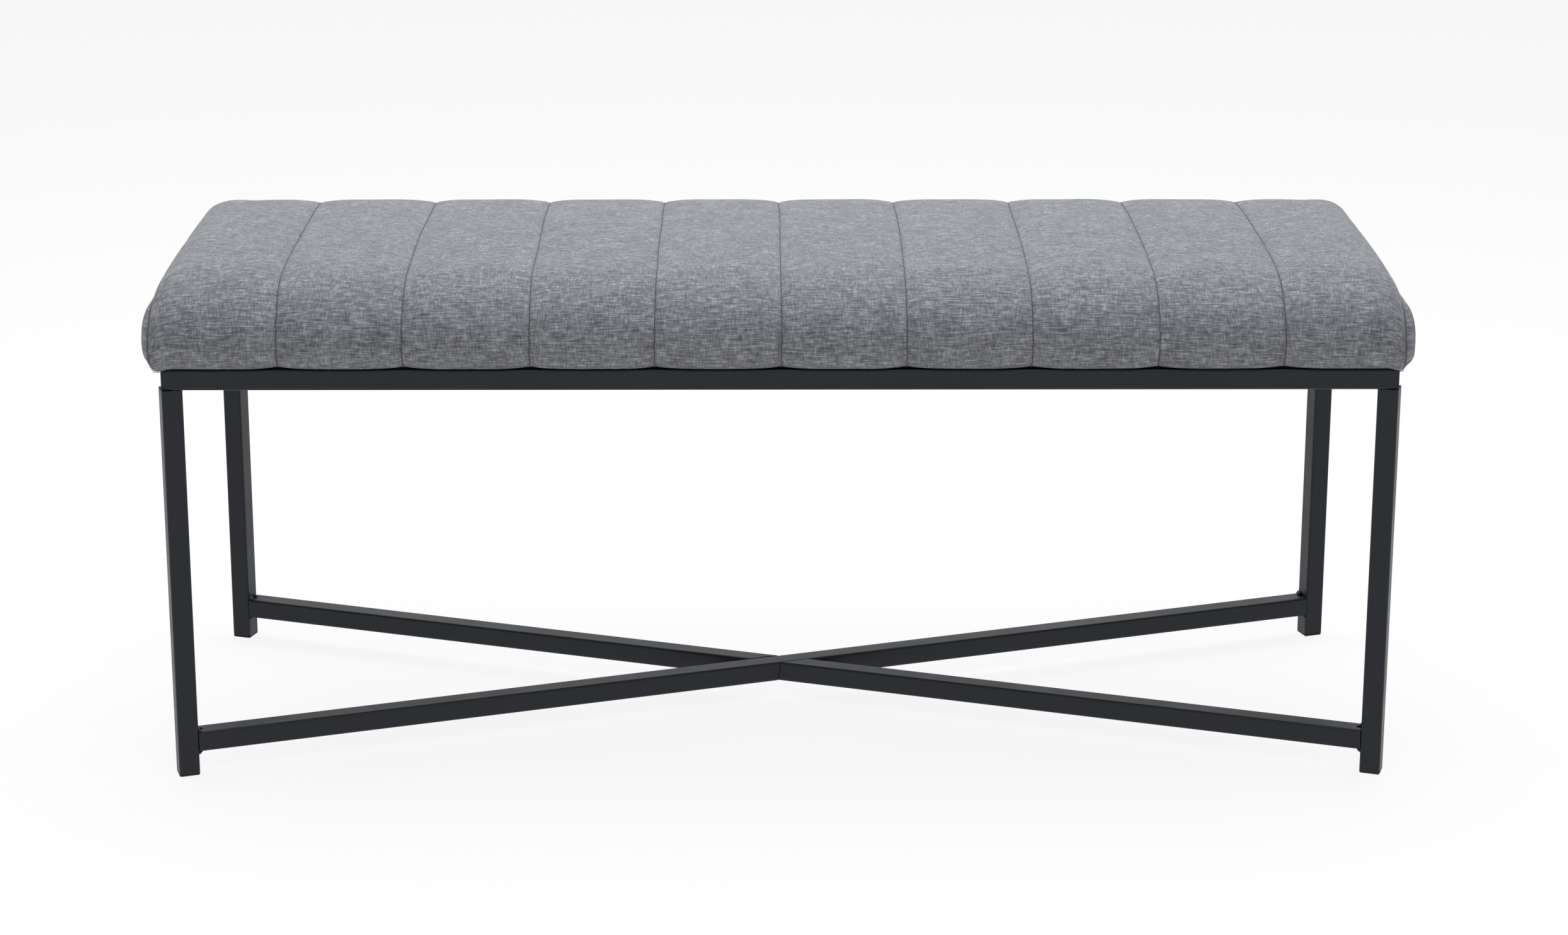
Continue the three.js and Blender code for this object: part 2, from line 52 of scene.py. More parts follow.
# ---------------------------------------------------------------- material helpers
class Graph:
    """One material's nodes. Inputs are sockets, numbers, tuples or None for what stays as it is."""

    def __init__(self, name):
        self.material = bpy.data.materials.new(name)
        self.material.use_nodes = True
        self.tree = self.material.node_tree
        self.shader = self.tree.nodes["Principled BSDF"]

    def feed(self, socket, value):
        if value is None:
            return
        if isinstance(value, bpy.types.NodeSocket):
            self.tree.links.new(value, socket)
        else:
            socket.default_value = value

    def node(self, kind, inputs=(), **settings):
        made = self.tree.nodes.new(kind)
        for key, value in settings.items():
            setattr(made, key, value)
        for key, value in dict(inputs).items():
            self.feed(made.inputs[key], value)
        return made

    def math(self, operation, first, second=None):
        made = self.node("ShaderNodeMath", operation=operation)
        self.feed(made.inputs[0], first)
        self.feed(made.inputs[1], second)
        return made.outputs[0]

    def times(self, first, second):
        return self.math("MULTIPLY", first, second)

    def plus(self, first, second):
        return self.math("ADD", first, second)

    def vector(self, x, y, z):
        return self.node("ShaderNodeCombineXYZ", {"X": x, "Y": y, "Z": z}).outputs[0]

    def noise(self, vector, scale, detail=2.0, roughness=0.5):
        inputs = {"Vector": vector, "Scale": scale, "Detail": detail, "Roughness": roughness}
        return self.node("ShaderNodeTexNoise", inputs).outputs["Fac"]

    def cells(self, vector, scale):
        return self.node("ShaderNodeTexVoronoi", {"Vector": vector, "Scale": scale}).outputs["Distance"]

    def ramp(self, factor, stops):
        made = self.node("ShaderNodeValToRGB", {"Fac": factor})
        elements = made.color_ramp.elements
        while len(elements) < len(stops):
            elements.new(0.5)
        for element, (place, colour) in zip(elements, stops):
            element.position = place
            element.color = (*colour, 1.0)
        return made.outputs["Color"]

    def span(self, value, low, high, to_low=0.0, to_high=1.0):
        """Maps low..high to to_low..to_high, clamped."""
        inputs = {"Value": value, "From Min": low, "From Max": high, "To Min": to_low, "To Max": to_high}
        return self.node("ShaderNodeMapRange", inputs).outputs["Result"]

    def mix(self, factor, first, second, blend="MIX"):
        made = self.node("ShaderNodeMix", data_type="RGBA", blend_type=blend)
        factor_socket = made.inputs[0]
        first_colour, second_colour = made.inputs[6], made.inputs[7]
        self.feed(factor_socket, factor)
        self.feed(first_colour, first)
        self.feed(second_colour, second)
        return made.outputs[2]

    def place(self):
        return self.node("ShaderNodeNewGeometry").outputs["Position"]

    def bump(self, height, strength, depth, normal=None):
        inputs = {"Height": height, "Strength": strength, "Distance": depth, "Normal": normal}
        return self.node("ShaderNodeBump", inputs).outputs["Normal"]

    def finish(self, **inputs):
        """Sets the shader's inputs, given by the short names below, and returns the material."""
        names = {
            "colour": "Base Color", "roughness": "Roughness", "metal": "Metallic", "normal": "Normal",
            "specular": "Specular IOR Level", "sheen": "Sheen Weight", "sheen_roughness": "Sheen Roughness",
            "tint": "Specular Tint",
        }
        for key, value in inputs.items():
            self.feed(self.shader.inputs[names[key]], value)
        return self.material


def rgba(red, green, blue):
    return (red, green, blue, 1.0)


# ---------------------------------------------------------------- finishes
THREAD_PITCH = 0.62 * MM  # one yarn of the plain weave
CLOTH_MAP = "cloth"  # metres across and along the cloth, written on the cover's faces


def weave(g, across, along):
    """(yarn tone, crown): the tone of the yarn on top, and how near its crown the spot is."""
    # Yarn tones change quickly from yarn to yarn and slowly along each one.
    warp_tone = g.noise(g.vector(across, g.times(along, 0.10), 3.0), 0.9, 2.0)
    weft_tone = g.noise(g.vector(g.times(across, 0.055), along, 9.0), 0.9, 2.0)
    wave = g.times(g.math("SINE", g.times(across, math.pi)), g.math("SINE", g.times(along, math.pi)))
    warp_over = g.span(wave, -0.25, 0.25)
    weft_over = g.math("SUBTRACT", 1.0, warp_over)
    tone = g.plus(g.times(warp_over, warp_tone), g.times(weft_over, weft_tone))
    return tone, g.math("ABSOLUTE", wave)


def melange_fabric():
    """Plain weave of light, mid and dark grey yarns with slubs along the bench, with painted shade between
    the yarns and a painted highlight on their crowns.
    """
    g = Graph("melange_fabric")
    cloth = g.node("ShaderNodeUVMap", uv_map=CLOTH_MAP).outputs["UV"]
    split = g.node("ShaderNodeSeparateXYZ", {"Vector": cloth})
    across = g.math("DIVIDE", split.outputs["X"], THREAD_PITCH)
    along = g.math("DIVIDE", split.outputs["Y"], THREAD_PITCH)
    yarn, crown = weave(g, across, along)

    def drift(across_share, along_share, seed, roughness):
        """A slower change of tone: the smaller a share, the longer the marks that way."""
        spot = g.vector(g.times(across, across_share), g.times(along, along_share), seed)
        return g.noise(spot, 1.0, 3.0, roughness)

    def shade(noise_value, strength):
        return g.span(noise_value, 0.3, 0.7, -strength, strength)

    slub = drift(0.035, 0.42, 5.0, 0.6)
    patch = drift(0.016, 0.03, 1.0, 0.6)
    blotch = drift(0.10, 0.13, 7.0, 0.65)
    tone = g.plus(shade(yarn, 0.42), shade(slub, 0.26))
    tone = g.plus(tone, shade(patch, 0.08))
    tone = g.plus(tone, shade(blotch, 0.19))
    colour = g.ramp(g.span(tone, -0.55, 0.55), [
        (0.0, (0.050, 0.052, 0.063)),
        (0.34, (0.125, 0.129, 0.146)),
        (0.62, (0.235, 0.242, 0.262)),
        (1.0, (0.500, 0.515, 0.540)),
    ])
    # Painted shade and highlight: the colour is darkened between the yarns' crowns and lightened a little on
    # them.
    painted_weave_shade = g.span(crown, 0.0, 0.8, 0.62, 1.12)
    painted_weave_shade_inputs = {"Red": painted_weave_shade, "Green": painted_weave_shade, "Blue": painted_weave_shade}
    painted_weave_shade_grey = g.node("ShaderNodeCombineColor", painted_weave_shade_inputs).outputs[0]
    height = g.plus(crown, g.times(slub, 0.7))
    return g.finish(
        colour=g.mix(1.0, colour, painted_weave_shade_grey, "MULTIPLY"),
        normal=g.bump(height, 0.55, 0.35 * MM),
        roughness=g.span(yarn, 0.3, 0.7, 0.46, 0.60),
        specular=0.4,
        sheen=0.10,
        sheen_roughness=0.45,
    )


def powder_coat():
    """Satin black powder coat with orange peel, and edges painted lighter: partly wear where the coat is
    thin, partly a painted highlight.
    """
    g = Graph("powder_coat")
    at = g.place()
    peel = g.noise(at, 900.0, 2.0)
    cloud = g.noise(at, 14.0, 3.0, 0.6)
    grain = g.noise(at, 2600.0, 1.0)
    rounded = g.node("ShaderNodeBevel", {"Radius": 1.2 * MM}, samples=6).outputs["Normal"]
    flat = g.node("ShaderNodeNewGeometry").outputs["True Normal"]
    facing = g.node("ShaderNodeVectorMath", operation="DOT_PRODUCT")
    g.feed(facing.inputs[0], rounded)
    g.feed(facing.inputs[1], flat)
    # Edges painted lighter: partly wear where the coat is thin, partly a painted highlight of the rounded
    # corners.
    edge = g.span(facing.outputs["Value"], 1.0, 0.86)
    edge_wear_and_highlight = g.times(edge, g.span(g.noise(at, 60.0, 4.0, 0.7), 0.35, 0.65))
    base = g.ramp(cloud, [(0.3, (0.0085, 0.0092, 0.0115)), (0.7, (0.0125, 0.0135, 0.0165))])
    colour = g.mix(edge_wear_and_highlight, base, rgba(0.045, 0.047, 0.053))
    height = g.plus(peel, g.times(grain, 0.3))
    return g.finish(
        colour=colour,
        normal=g.bump(height, 0.16, 0.10 * MM, rounded),
        roughness=g.span(cloud, 0.3, 0.7, 0.38, 0.48),
        specular=0.33,
        tint=rgba(0.88, 0.93, 1.0),
    )


def moulded_plastic():
    """Matt black moulded plastic with fine spark-eroded grain."""
    g = Graph("moulded_plastic")
    at = g.place()
    grain = g.cells(at, 2200.0)
    cloud = g.noise(at, 90.0, 3.0)
    colour = g.ramp(cloud, [(0.3, (0.012, 0.012, 0.013)), (0.7, (0.022, 0.022, 0.024))])
    return g.finish(
        colour=colour,
        normal=g.bump(grain, 0.25, 0.08 * MM),
        roughness=g.span(cloud, 0.3, 0.7, 0.5, 0.62),
        specular=0.35,
    )


def plated_steel(name, dark, light):
    """Turned and plated steel: fine lines round the part and cloudy plating."""
    g = Graph(name)
    at = g.node("ShaderNodeSeparateXYZ", {"Vector": g.place()})
    lines = g.noise(g.vector(at.outputs["X"], at.outputs["Y"], g.times(at.outputs["Z"], 12.0)), 400.0, 3.0)
    cloud = g.noise(g.place(), 220.0, 3.0)
    return g.finish(
        colour=g.ramp(cloud, [(0.3, dark), (0.7, light)]),
        metal=1.0,
        normal=g.bump(lines, 0.2, 0.05 * MM),
        roughness=g.span(cloud, 0.3, 0.7, 0.24, 0.42),
    )


PLY_PAIR = 2.4 * MM  # two plies, one light and one dark


def birch_plywood():
    """Rotary-cut birch: long grain on the faces and stacked plies on the edges."""
    g = Graph("birch_plywood")
    at = g.node("ShaderNodeSeparateXYZ", {"Vector": g.place()})
    x, y, z = (at.outputs[key] for key in "XYZ")
    grain = g.noise(g.vector(g.times(x, 4.0), g.times(y, 120.0), z), 1.0, 5.0, 0.65)
    ply = g.math("SINE", g.times(z, 2.0 * math.pi / PLY_PAIR))
    face = g.ramp(grain, [(0.3, (0.36, 0.22, 0.11)), (0.5, (0.52, 0.35, 0.20)), (0.72, (0.62, 0.45, 0.28))])
    colour = g.mix(g.span(ply, -0.2, 0.9, 0.0, 0.35), face, rgba(0.24, 0.13, 0.06))
    return g.finish(
        colour=colour,
        normal=g.bump(grain, 0.3, 0.2 * MM),
        roughness=g.span(grain, 0.3, 0.7, 0.6, 0.8),
    )


def non_woven_cloth():
    """Thin black felt pressed from fibres, with its grid of bonding points."""
    g = Graph("non_woven_cloth")
    at = g.place()
    stretched = g.node("ShaderNodeMapping", {"Vector": at, "Scale": (1.0, 0.35, 1.0)}).outputs[0]
    fibres = g.noise(stretched, 1400.0, 4.0, 0.7)
    points = g.span(g.cells(at, 420.0), 0.18, 0.30)
    colour = g.ramp(fibres, [(0.3, (0.006, 0.006, 0.007)), (0.7, (0.026, 0.026, 0.028))])
    height = g.times(g.plus(fibres, points), 0.5)
    return g.finish(
        colour=colour,
        normal=g.bump(height, 0.5, 0.15 * MM),
        roughness=g.span(fibres, 0.3, 0.7, 0.85, 0.98),
        sheen=0.1,
    )


def seam_shade_thread():
    """Dark plum-grey polyester thread: two plies twisted round each other. Its dark tone is painted shade
    for the seams' crevices.
    """
    g = Graph("seam_shade_thread")
    at = g.place()
    twist = g.node("ShaderNodeTexWave", {"Vector": at, "Scale": 1500.0, "Distortion": 1.5},
                   bands_direction="DIAGONAL").outputs["Fac"]
    fuzz = g.noise(at, 900.0, 2.0)
    colour = g.ramp(fuzz, [(0.3, (0.032, 0.027, 0.033)), (0.7, (0.070, 0.062, 0.072))])
    return g.finish(
        colour=colour,
        normal=g.bump(twist, 0.4, 0.08 * MM),
        roughness=g.span(twist, 0.0, 1.0, 0.6, 0.8),
        sheen=0.15,
    )


finishes = {
    "powder_coated_steel": powder_coat(),
    "foot_plastic": moulded_plastic(),
    "zinc_steel": plated_steel("zinc_plate", (0.38, 0.39, 0.40), (0.58, 0.60, 0.62)),
    "bolt_steel": plated_steel("black_oxide", (0.018, 0.018, 0.020), (0.045, 0.045, 0.048)),
    "cover_fabric": melange_fabric(),
    "plywood": birch_plywood(),
    "dust_cloth": non_woven_cloth(),
}
# The dark seam threads are painted shade: they stand in for the shade in the seams' crevices.
seam_shade_finish = seam_shade_thread()


def finish_cad_nodes():
    """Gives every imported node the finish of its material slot."""
    for subpart in frame["record"]["subparts"]:
        finish = finishes.get(subpart["material_slot"])
        if finish:
            for slot in frame["nodes"][subpart["node"]].material_slots:
                slot.material = finish


# ---------------------------------------------------------------- seat cover: where its seams and rolls are
STRIPS = sorted(name for name in frame["nodes"] if name.startswith("cover_strip_"))
strip_boxes = [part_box(name) for name in STRIPS]
left_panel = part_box("cover_left_end_panel")
right_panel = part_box("cover_right_end_panel")

HALF_LENGTH = right_panel[1].x
HALF_DEPTH = strip_boxes[0][1].y
COVER_BOTTOM = strip_boxes[0][0].z
COVER_TOP = max(high.z for low, high in strip_boxes)
RAIL_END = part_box("front_right_rail_cap")[1].x
board_low, board_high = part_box("seat_board")
BOARD_EDGE = board_high.y + 5 * MM  # nearer the middle than this the cover stays under the board
BOARD_BOTTOM = board_low.z - 0.5 * MM

END_SEAM = (left_panel[1].x + strip_boxes[0][0].x) / 2
inner_seams = [(a[1].x + b[0].x) / 2 for a, b in zip(strip_boxes, strip_boxes[1:])]
SEAMS = [END_SEAM, *inner_seams, -END_SEAM]

SIDE_ROLL = (70 * MM, 54 * MM)  # top roll of the front and back: across, down
SIDE_TUCK = (12 * MM, 20 * MM)  # bottom roll of the front and back
ROLL_POWER = 1.75  # 2 is an ellipse; above it the rolls are flatter and turn tighter
END_ROLL = (34 * MM, 27 * MM)  # top roll of the ends, which turns down to the end seams
END_ROLL_POWER = 2.4
LEFT_TUCK = (9 * MM, 13 * MM)  # bottom roll of the ends
RIGHT_TUCK = (3 * MM, 8 * MM)
PLAN_CORNER = 12 * MM  # the pad's corners seen from above
CROWN = 5 * MM  # how much higher the pad is along its middle than at its rolls
SEAM_INSET = 4.4 * MM  # seams and end panels start this far inside the foam's outer form
PUFF = 3.2 * MM  # how far a channel's middle stands out from its seams
BOTTOM_PUFF = -1.2 * MM  # the change to that where the cover turns under
SEAM_TUCK = 1.2 * MM  # how far a seam is pulled up where it turns under
SEAM_DEPTH = 1.2 * MM  # the narrow crevice at the seam itself
SEAM_WANDER = 1.8 * MM
SHOULDER_SHARE = 0.30  # a channel rounds off towards its seams over this share of its width
SHOULDER_POWER = 2.4
END_STRIP_FILL = 0.4  # how full the cover stays right beside the end seams
END_SEAM_SHARE = 0.5  # the end seams draw in by this share of what the cross seams do
RIPPLE = 0.35 * MM  # small unevenness of the stuffing
RIPPLE_SCALE = 38.0
SWELL_LIMIT = 1.2 * MM  # the most that the cloth simulation may move a point
PANEL_SWELL_SHARE = 0.6  # how much of that movement the end panels keep
CLOTH_PRESSURE = 4
CLOTH_FRAMES = 20
SAG_STEP = 12 * MM  # the cover starts to sag over this length, centred on the ends of the rails
TUCK_FROM, TUCK_OVER = 0.90, 0.10  # shares of the half length: where the ends' tuck starts, and over what
SWELL_FROM, SWELL_OVER = 0.93, 0.05  # the same for the ends' swell
CROWN_STEPS = 12
CLOTH_SHIFT = 0.0137  # metres of weave from one strip to the next, so its pattern doesn't run through
PANEL_CLOTH_START = 2.0  # metres along the weave to the part that covers the end panels
END_SAG = 4.0 * MM  # how far the cover hangs down past the ends of the rails
LEFT_SWELL = 2.0 * MM  # how far the left end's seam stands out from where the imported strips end
RIGHT_SWELL = -4.0 * MM
LEFT_BULGE = 9 * MM  # how far the end panels stand out from their seams
RIGHT_BULGE = 12 * MM

COLUMNS = (0.0, 0.016, 0.045, 0.095, 0.165, 0.25, 0.34, 0.42, 0.5)  # shares of a strip, dense at its seam
PANEL_EDGE = 5 * MM  # the end panels reach their full bulge a few times this far from their seams
LEFT_FOOT = 7 * MM  # the same for their bottom edges
RIGHT_FOOT = 2.5 * MM
ROWS_TOP = 46
ROWS_SIDE = 10
BOTTOM_ROWS = 5  # rows over which the cover tightens towards its bottom edge


def smooth_step(share):
    share = max(0.0, min(1.0, share))
    return share * share * (3 - 2 * share)


def quarter(share, power=2.0):
    """How far a quarter superellipse has fallen after share of its radius, from 0 to 1."""
    return 1 - max(0.0, 1 - min(1.0, max(0.0, share)) ** power) ** (1 / power)


def resample(points, count):
    """count + 1 points at equal steps along a line of (y, z) points."""
    lengths = [0.0]
    for first, second in zip(points, points[1:]):
        lengths.append(lengths[-1] + math.dist(first, second))
    made, at = [], 0
    for step in range(count + 1):
        goal = lengths[-1] * step / count
        while at < len(points) - 2 and lengths[at + 1] < goal:
            at += 1
        run = lengths[at + 1] - lengths[at]
        share = (goal - lengths[at]) / run if run else 0.0
        (y0, z0), (y1, z1) = points[at], points[at + 1]
        made.append((y0 + (y1 - y0) * share, z0 + (z1 - z0) * share))
    return made


def arc(centre_y, centre_z, radius_y, radius_z, start, stop, power=2.0, steps=24):
    """Points (y, z) on a superellipse between two angles in degrees."""
    points = []
    for step in range(steps + 1):
        angle = math.radians(start + (stop - start) * step / steps)
        flat, rise = math.cos(angle), math.sin(angle)
        points.append((centre_y + radius_y * math.copysign(abs(flat) ** (2 / power), flat),
                       centre_z + radius_z * math.copysign(abs(rise) ** (2 / power), rise)))
    return points


ROLL_SPLIT = 135  # degrees round the roll where the side rows hand over to the top rows


def half_section(x):
    """(side, top) of the front half of the pad's section at x, as two lists of (y, z) points."""
    end_across, end_down = END_ROLL
    end_fall = quarter((abs(x) - (abs(END_SEAM) - end_across)) / end_across, END_ROLL_POWER)
    corner_share = (abs(x) - (HALF_LENGTH - PLAN_CORNER)) / PLAN_CORNER
    top = COVER_TOP - SEAM_INSET - end_down * end_fall
    half = HALF_DEPTH - SEAM_INSET - PLAN_CORNER * quarter(corner_share)
    roll_y, roll_z = SIDE_ROLL
    tuck_y, tuck_z = SIDE_TUCK
    crown = CROWN * (1 - end_fall)
    shoulder = top - crown
    room = min(1.0, (shoulder - COVER_BOTTOM - tuck_z) / roll_z)
    roll_y, roll_z = roll_y * room, roll_z * room
    side = arc(-half + tuck_y, COVER_BOTTOM + tuck_z, tuck_y, tuck_z, 270, 180)
    side += arc(-half + roll_y, shoulder - roll_z, roll_y, roll_z, 180, ROLL_SPLIT, ROLL_POWER)
    over = arc(-half + roll_y, shoulder - roll_z, roll_y, roll_z, ROLL_SPLIT, 90, ROLL_POWER)
    flat = half - roll_y
    for step in range(1, CROWN_STEPS + 1):
        share = 1 - step / CROWN_STEPS
        over.append((-flat * share, shoulder + crown * (1 - share ** 2)))
    return side, over


def column_places():
    """(x, strip number, share across the strip) for every column of the cover between its end seams."""
    shares = list(COLUMNS) + [1 - share for share in reversed(COLUMNS[:-1])]
    places = []
    for strip, (left, right) in enumerate(zip(SEAMS, SEAMS[1:])):
        for share in shares[:-1]:
            places.append((left + (right - left) * share, strip, share))
    places.append((SEAMS[-1], len(SEAMS) - 2, 1.0))
    return places


def tuck_under(x, z):
    """How far the cover's end draws in towards the middle at height z."""
    across, height = LEFT_TUCK if x < 0 else RIGHT_TUCK
    weight = max(0.0, min(1.0, (abs(x) - TUCK_FROM * HALF_LENGTH) / (TUCK_OVER * HALF_LENGTH)))
    return math.copysign(across * quarter((COVER_BOTTOM + height - z) / height) * weight, x)


def end_swell(x):
    """How far the cover's end moves out along the bench at x."""
    weight = smooth_step((abs(x) - SWELL_FROM * HALF_LENGTH) / (SWELL_OVER * HALF_LENGTH))
    return -LEFT_SWELL * weight if x < 0 else RIGHT_SWELL * weight


def wander(x, s):
    """A slow sideways drift of the cloth, so seams aren't ruled lines."""
    return SEAM_WANDER * noise.noise(Vector((x * 9.0, s * 7.0, 4.2)))


def channel_profile(share):
    """0 at a seam and 1 over most of a channel, with a rounded shoulder."""
    edge = min(share, 1 - share)
    return 1 - max(0.0, 1 - edge / SHOULDER_SHARE) ** SHOULDER_POWER


def cover_lattice():
    """The closed cover as a grid: rows up the front, over the top, down the back, and along the bottom.

    Returns the columns' places, each column's loop of (y, z) points, how many rows a loop has, the row where
    the back's bottom edge is, and how far along the cloth each row lies."""
    places = column_places()
    loops = []
    for x, _, _ in places:
        side, over = half_section(x)
        front = resample(side, ROWS_SIDE)
        rise = resample(over, ROWS_TOP // 2)
        half_loop = front + rise[1:]
        back = [(-y, z) for y, z in reversed(half_loop[:-1])]
        over_top = half_loop + back
        width = over_top[-1][0] - over_top[0][0]
        under = [(over_top[-1][0] - width * i / ROWS_TOP, COVER_BOTTOM) for i in range(1, ROWS_TOP)]
        loops.append(over_top + under)
    ring = len(loops[0])
    over_count = 2 * ROWS_SIDE + ROWS_TOP
    along = [0.0]
    middle = loops[len(loops) // 2]
    for i in range(ring):
        along.append(along[-1] + math.dist(middle[i], middle[(i + 1) % ring]))
    return places, loops, ring, over_count, along


def build_cover():
    """Returns the cover's mesh before it swells, its columns, its rows, and each vertex's hold.

    The hold is 1 where the cover rests on the board or is fixed to its edges, and 0 elsewhere."""
    places, loops, ring, over_count, along = cover_lattice()
    mesh = bpy.data.meshes.new("seat_cover")
    vertices, faces, cloth, hold = [], [], [], []
    for (x, _, _), loop in zip(places, loops):
        for row, (y, z) in enumerate(loop):
            drift = wander(x, along[row]) if row <= over_count else 0.0
            vertices.append(Vector((x + drift + end_swell(x) - tuck_under(x, z), y, z)))
            hold.append(1.0 if row > over_count or row in (0, over_count) else 0.0)
    count = len(places)
    for i in range(count - 1):
        shift = CLOTH_SHIFT * places[i][1]
        left, right = places[i][0] + shift, places[i + 1][0] + shift
        for row in range(ring):
            nxt = (row + 1) % ring
            near, far = along[row], along[row + 1]
            faces.append((i * ring + row, (i + 1) * ring + row, (i + 1) * ring + nxt, i * ring + nxt))
            cloth.append(((left, near), (right, near), (right, far), (left, far)))
    add_end_panel(vertices, faces, cloth, hold, 0, ring, -1)
    add_end_panel(vertices, faces, cloth, hold, (count - 1) * ring, ring, 1)
    mesh.from_pydata(vertices, [], faces)
    layer = mesh.uv_layers.new(name=CLOTH_MAP)
    for face, corners in zip(mesh.polygons, cloth):
        for loop_index, corner in zip(face.loop_indices, corners):
            layer.data[loop_index].uv = corner
    mesh.update()
    return mesh, places, ring, over_count, hold


def add_end_panel(vertices, faces, cloth, hold, first, ring, side):
    """Closes one end: a grid between the seam's front, top, back and bottom, bulged outwards."""
    wide, tall = ROWS_TOP, ROWS_SIDE
    reach, foot = (LEFT_BULGE, LEFT_FOOT) if side < 0 else (RIGHT_BULGE, RIGHT_FOOT)
    grid = {}
    for j in range(wide + 1):
        grid[j, 0] = first + (0 if j == 0 else ring - j)
        grid[j, tall] = first + tall + j
    for k in range(1, tall):
        grid[0, k] = first + k
        grid[wide, k] = first + 2 * tall + wide - k
    for j in range(1, wide):
        for k in range(1, tall):
            a, b = j / wide, k / tall
            low, high = vertices[grid[j, 0]], vertices[grid[j, tall]]
            front, back = vertices[grid[0, k]], vertices[grid[wide, k]]
            corners = (vertices[grid[0, 0]] * (1 - a) * (1 - b) + vertices[grid[wide, 0]] * a * (1 - b)
                       + vertices[grid[0, tall]] * (1 - a) * b + vertices[grid[wide, tall]] * a * b)
            point = low * (1 - b) + high * b + front * (1 - a) + back * a - corners
            from_edges = ((min(a, 1 - a) * (back - front).length, PANEL_EDGE),
                          ((1 - b) * (high - low).length, PANEL_EDGE),
                          (b * (high - low).length, foot))
            bulge = math.prod(1 - math.exp(-distance / edge) for distance, edge in from_edges)
            point.x += side * reach * bulge
            grid[j, k] = len(vertices)
            vertices.append(point)
            hold.append(0.0)
    for j in range(wide):
        for k in range(tall):
            corners = [grid[j, k], grid[j + 1, k], grid[j + 1, k + 1], grid[j, k + 1]]
            spots = [(vertices[index].y + PANEL_CLOTH_START, vertices[index].z) for index in corners]
            if side < 0:
                corners.reverse()
                spots.reverse()
            faces.append(tuple(corners))
            cloth.append(tuple(spots))


# ---------------------------------------------------------------- seat cover: stuffing and sewing
def inflate(cover, held):
    """Lets the sewn cover fill out as cloth under pressure, held along its seams and its bottom."""
    scene = bpy.context.scene
    group = cover.vertex_groups.new(name="held")
    for index, weight in held.items():
        group.add([index], weight, "REPLACE")
    modifier = cover.modifiers.new("Cloth", "CLOTH")
    cloth = modifier.settings
    cloth.quality = 5
    cloth.mass = 0.4
    cloth.tension_stiffness = 12
    cloth.compression_stiffness = 12
    cloth.shear_stiffness = 6
    cloth.bending_stiffness = 1.5
    cloth.use_pressure = True
    cloth.uniform_pressure_force = CLOTH_PRESSURE
    cloth.vertex_group_mass = "held"
    cloth.effector_weights.gravity = 0
    modifier.point_cache.frame_start = 1
    modifier.point_cache.frame_end = CLOTH_FRAMES
    for step in range(1, CLOTH_FRAMES + 1):
        scene.frame_set(step)
    settled = cover.evaluated_get(bpy.context.evaluated_depsgraph_get())
    moved = [vertex.co.copy() for vertex in settled.data.vertices]
    cover.modifiers.remove(modifier)
    cover.vertex_groups.remove(group)
    scene.frame_set(1)
    return moved


def capped(swell):
    """The cloth simulation's movement, cut to SWELL_LIMIT."""
    return swell.normalized() * SWELL_LIMIT if swell.length > SWELL_LIMIT else swell


def fullness(strip, share):
    """How full the cover is: 0 at a cross seam and 1 over most of a channel."""
    profile = channel_profile(share)
    beside_left_end = strip == 0 and share < 0.5
    beside_right_end = strip == len(SEAMS) - 2 and share > 0.5
    if beside_left_end or beside_right_end:
        return END_STRIP_FILL + (1 - END_STRIP_FILL) * profile
    return profile


def stuff_channels(mesh, moved, places, ring, over_count):
    """Shapes the channels: the simulated swelling, cut short, then a crown, a crevice and a ripple.

    Returns the normals of the cover as it was before."""
    base = [vertex.co.copy() for vertex in mesh.vertices]
    normals = [vertex.normal.copy() for vertex in mesh.vertices]
    count = len(places)
    for i, (x, strip, share) in enumerate(places):
        fill = fullness(strip, share)
        seam_pull = 0.0
        if share in (0.0, 1.0):
            seam_pull = SEAM_DEPTH * (END_SEAM_SHARE if i in (0, count - 1) else 1.0)
        past_rail = smooth_step((abs(x) - RAIL_END + SAG_STEP / 2) / SAG_STEP)
        for row in range(over_count + 1):
            index = i * ring + row
            bottom = max(0.0, 1 - min(row, over_count - row) / BOTTOM_ROWS)
            lift = (PUFF + BOTTOM_PUFF * bottom) * fill - seam_pull
            ripple = RIPPLE * noise.noise(base[index] * RIPPLE_SCALE) * fill
            place = base[index] + capped(moved[index] - base[index]) + normals[index] * (lift + ripple)
            place.z += SEAM_TUCK * bottom * (1 - fill)
            if bottom > 0 and abs(place.y) < BOARD_EDGE:
                place.z = min(place.z, BOARD_BOTTOM)
            place.z -= END_SAG * bottom * past_rail
            mesh.vertices[index].co = place
    for index in range(count * ring, len(base)):
        mesh.vertices[index].co = base[index] + capped(moved[index] - base[index]) * PANEL_SWELL_SHARE
    return normals


def crease_seams(mesh, seam_columns, ring, over_count):
    """Keeps the seams sharp when the mesh is subdivided."""
    crease = mesh.attributes.new("crease_edge", "FLOAT", "EDGE")
    on_seam = set()
    for i in seam_columns:
        for row in range(over_count):
            on_seam.add(frozenset((i * ring + row, i * ring + row + 1)))
    for edge in mesh.edges:
        if frozenset(edge.vertices) in on_seam:
            crease.data[edge.index].value = 1.0


